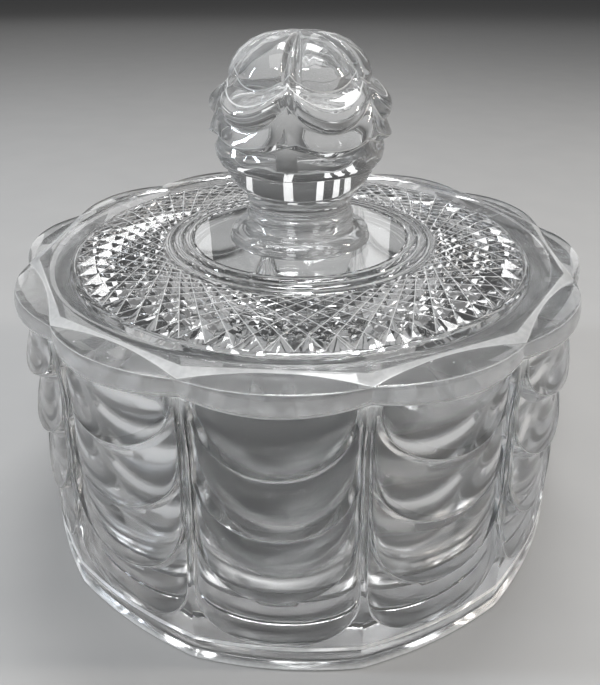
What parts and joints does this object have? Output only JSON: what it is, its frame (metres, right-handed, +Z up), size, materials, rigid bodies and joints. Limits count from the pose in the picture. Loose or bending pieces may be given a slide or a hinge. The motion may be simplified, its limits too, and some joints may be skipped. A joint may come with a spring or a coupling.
{
  "type": "powder jar",
  "caption": "Heavy round cut-crystal jar with swag-cut panels, a full-width lift-off lid with a diamond-cut band, and a lobed ball knob.",
  "frame": {"origin": "centre of the base, on the plane the jar stands on", "axes": "+Z up along the jar's axis; one panel faces -Y"},
  "size_m": [0.1526, 0.1526, 0.1328],
  "materials": {
    "jar_crystal": "polished cut crystal, ground seat",
    "lid_crystal": "polished cut crystal, ground seat",
    "knob_crystal": "polished cut crystal"
  },
  "bodies": {
    "jar": {"jar_body": "jar_crystal"},
    "lid": {"lid": "lid_crystal", "knob": "knob_crystal"}
  },
  "joints": [
    {"name": "lid_lift", "type": "slide", "parent": "jar", "child": "lid", "axis": [0, 0, 1], "range_m": [0, 0.12]}
  ]
}
